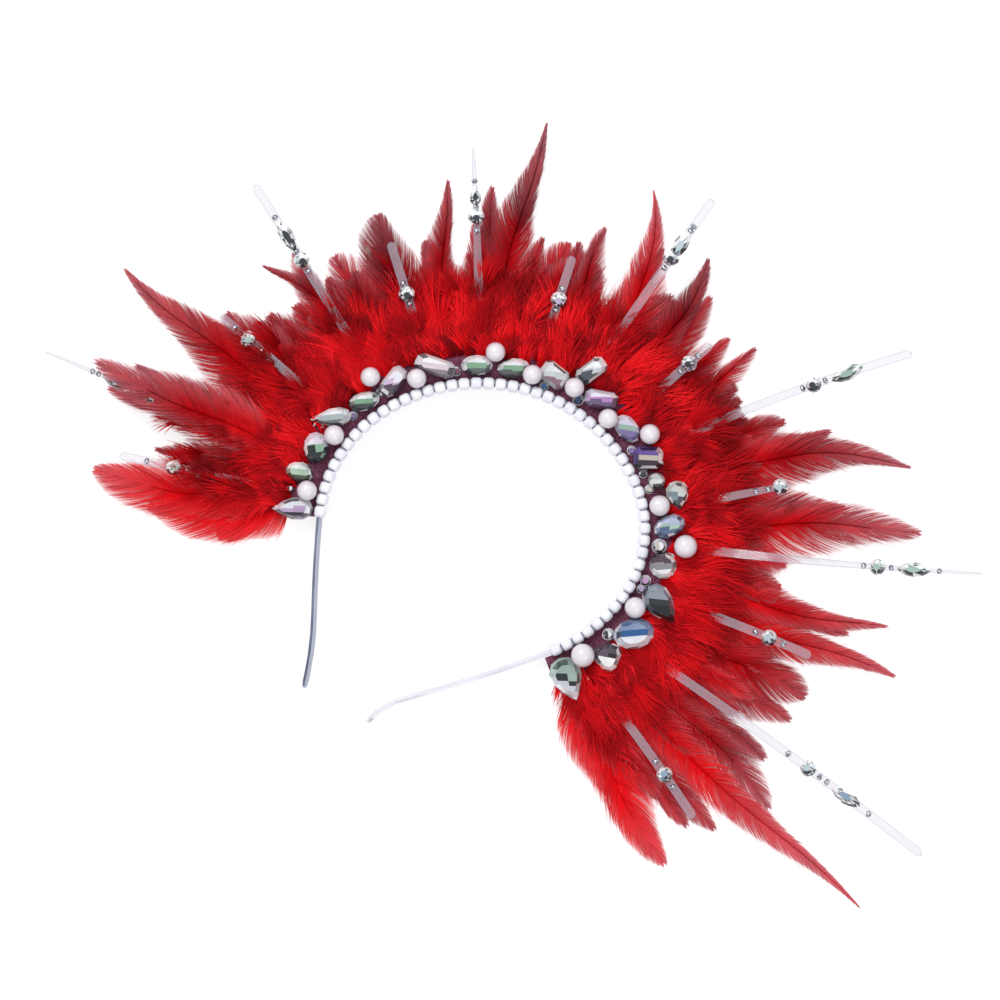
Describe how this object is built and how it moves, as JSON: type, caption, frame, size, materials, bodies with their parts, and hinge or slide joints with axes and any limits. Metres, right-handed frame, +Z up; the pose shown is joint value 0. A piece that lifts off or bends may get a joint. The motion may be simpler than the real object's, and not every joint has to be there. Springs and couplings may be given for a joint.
{
  "type": "feather headband",
  "caption": "Headband with a thin metal band, a row of white beads, cut stones, pearls, a fan of red feathers and clear beaded strips.",
  "frame": {"origin": "middle of the whole headband's bounding box, at the height of its underside, with the headband lying flat", "axes": "+Z up out of the face that shows the stones, +Y from the band's two tips towards the crown of the head, +X to the right as seen from above"},
  "size_m": [0.4006, 0.2522, 0.0309],
  "materials": {
    "band": "satin silver",
    "bead_row": "glossy white",
    "base_strip": "matt dark plum felt",
    "stone_01": "cut and coated, iridescent",
    "stone_02": "cut and coated, iridescent",
    "stone_03": "cut and coated, iridescent",
    "stone_04": "cut and coated, iridescent",
    "stone_05": "cut and coated, iridescent",
    "stone_06": "cut and coated, iridescent",
    "stone_07": "cut and coated, iridescent",
    "stone_08": "cut and coated, iridescent",
    "stone_09": "cut and coated, iridescent",
    "stone_10": "cut and coated, iridescent",
    "stone_11": "cut and coated, iridescent",
    "stone_12": "cut and coated, iridescent",
    "stone_13": "cut and coated, iridescent",
    "stone_14": "cut and coated, iridescent",
    "stone_15": "cut and coated, iridescent",
    "stone_16": "cut and coated, iridescent",
    "stone_17": "cut and coated, iridescent",
    "stone_18": "cut and coated, iridescent",
    "stone_19": "cut and coated, iridescent",
    "stone_20": "cut and coated, iridescent",
    "stone_21": "cut and coated, iridescent",
    "stone_22": "cut and coated, iridescent",
    "pearl_01": "pearly white",
    "pearl_02": "pearly white",
    "pearl_03": "pearly white",
    "pearl_04": "pearly white",
    "pearl_05": "pearly white",
    "pearl_06": "pearly white",
    "pearl_07": "pearly white",
    "pearl_08": "pearly white",
    "pearl_09": "pearly white",
    "pearl_10": "pearly white",
    "pearl_11": "pearly white",
    "pearl_12": "pearly white",
    "pearl_13": "pearly white",
    "long_strip_1": "clear, glossy",
    "long_strip_2": "clear, glossy",
    "long_strip_3": "clear, glossy",
    "long_strip_4": "clear, glossy",
    "long_strip_5": "clear, glossy",
    "long_strip_6": "clear, glossy",
    "long_strip_7": "clear, glossy",
    "short_strip_1": "clear, glossy",
    "short_strip_2": "clear, glossy",
    "short_strip_3": "clear, glossy",
    "short_strip_4": "clear, glossy",
    "short_strip_5": "clear, glossy",
    "short_strip_6": "clear, glossy",
    "short_strip_7": "clear, glossy",
    "short_strip_8": "clear, glossy",
    "feathers_1": "dyed red, matt with a soft sheen",
    "feathers_2": "dyed red, matt with a soft sheen",
    "feathers_3": "dyed red, matt with a soft sheen",
    "feathers_4": "dyed red, matt with a soft sheen",
    "feathers_5": "dyed red, matt with a soft sheen",
    "feathers_6": "dyed red, matt with a soft sheen",
    "feathers_7": "dyed red, matt with a soft sheen"
  },
  "bodies": {
    "root": {"band": "band", "bead_row": "bead_row", "base_strip": "base_strip", "stone_01": "stone_01", "stone_02": "stone_02", "stone_03": "stone_03", "stone_04": "stone_04", "stone_05": "stone_05", "stone_06": "stone_06", "stone_07": "stone_07", "stone_08": "stone_08", "stone_09": "stone_09", "stone_10": "stone_10", "stone_11": "stone_11", "stone_12": "stone_12", "stone_13": "stone_13", "stone_14": "stone_14", "stone_15": "stone_15", "stone_16": "stone_16", "stone_17": "stone_17", "stone_18": "stone_18", "stone_19": "stone_19", "stone_20": "stone_20", "stone_21": "stone_21", "stone_22": "stone_22", "pearl_01": "pearl_01", "pearl_02": "pearl_02", "pearl_03": "pearl_03", "pearl_04": "pearl_04", "pearl_05": "pearl_05", "pearl_06": "pearl_06", "pearl_07": "pearl_07", "pearl_08": "pearl_08", "pearl_09": "pearl_09", "pearl_10": "pearl_10", "pearl_11": "pearl_11", "pearl_12": "pearl_12", "pearl_13": "pearl_13", "long_strip_1": "long_strip_1", "long_strip_2": "long_strip_2", "long_strip_3": "long_strip_3", "long_strip_4": "long_strip_4", "long_strip_5": "long_strip_5", "long_strip_6": "long_strip_6", "long_strip_7": "long_strip_7", "short_strip_1": "short_strip_1", "short_strip_2": "short_strip_2", "short_strip_3": "short_strip_3", "short_strip_4": "short_strip_4", "short_strip_5": "short_strip_5", "short_strip_6": "short_strip_6", "short_strip_7": "short_strip_7", "short_strip_8": "short_strip_8", "feathers_1": "feathers_1", "feathers_2": "feathers_2", "feathers_3": "feathers_3", "feathers_4": "feathers_4", "feathers_5": "feathers_5", "feathers_6": "feathers_6", "feathers_7": "feathers_7"}
  },
  "joints": []
}
